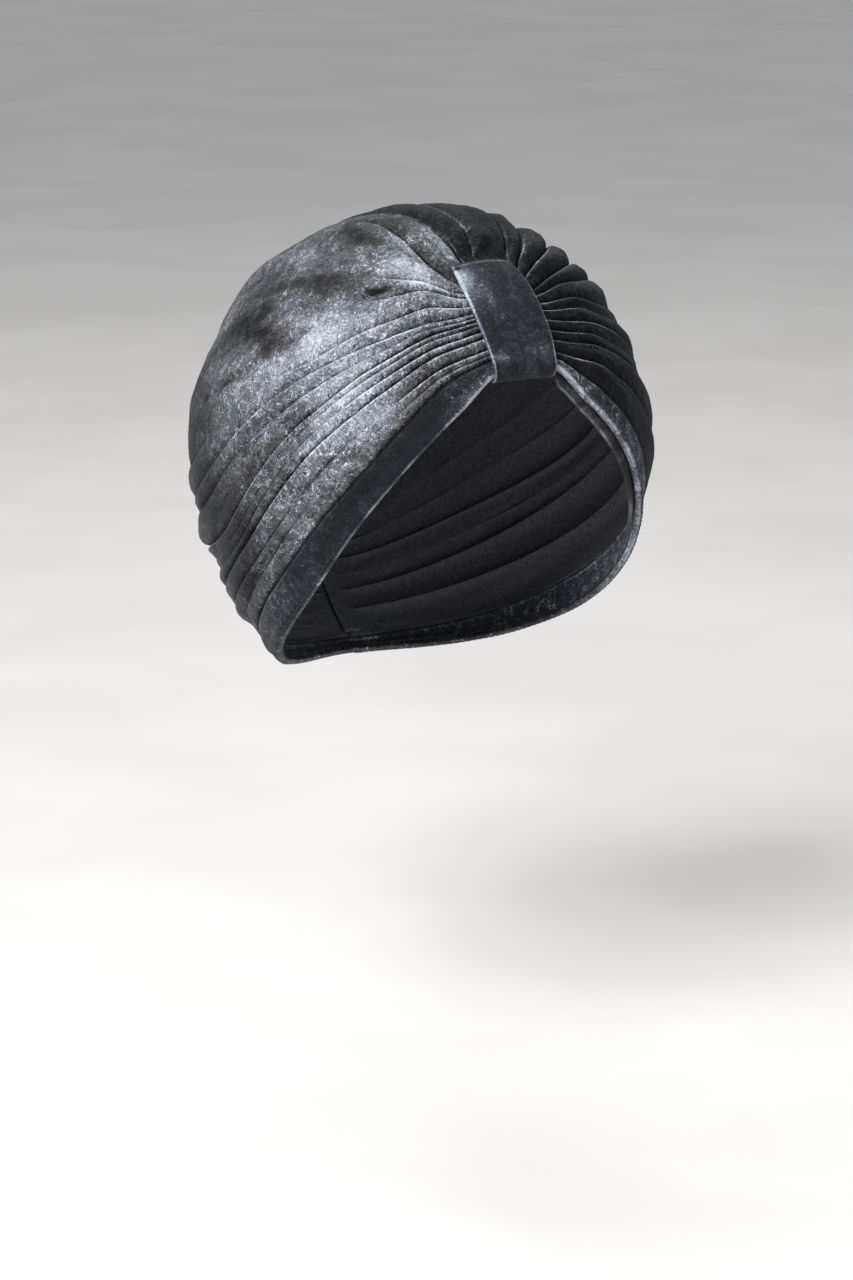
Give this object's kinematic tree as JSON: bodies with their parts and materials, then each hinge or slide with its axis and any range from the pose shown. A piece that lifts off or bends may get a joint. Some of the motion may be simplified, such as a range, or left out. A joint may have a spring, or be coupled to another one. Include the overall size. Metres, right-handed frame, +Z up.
{
  "type": "turban headwrap",
  "caption": "Pre-tied crushed velvet turban: two gathered drapes meet over the crown, held at the forehead by a smooth centre band, with a flat hem strip round the face and nape.",
  "frame": {"origin": "where the wrap sits on a head: the inside of the crown, at its top, on the centre plane", "axes": "+Z up, the face looks along -Y, and the wearer's left is +X"},
  "size_m": [0.1782, 0.1946, 0.1914],
  "materials": {
    "drape_right_velvet": "crushed velvet, pile lying towards the light",
    "drape_left_velvet": "crushed velvet, pile lying away from the light",
    "band_velvet": "crushed velvet, stretched smooth",
    "hem_velvet": "crushed velvet, doubled strip",
    "facing_velvet": "crushed velvet, turned-in layer"
  },
  "bodies": {
    "root": {"drape_right": "drape_right_velvet", "drape_left": "drape_left_velvet", "centre_band": "band_velvet", "hem_band": "hem_velvet", "hem_facing": "facing_velvet"}
  },
  "joints": []
}
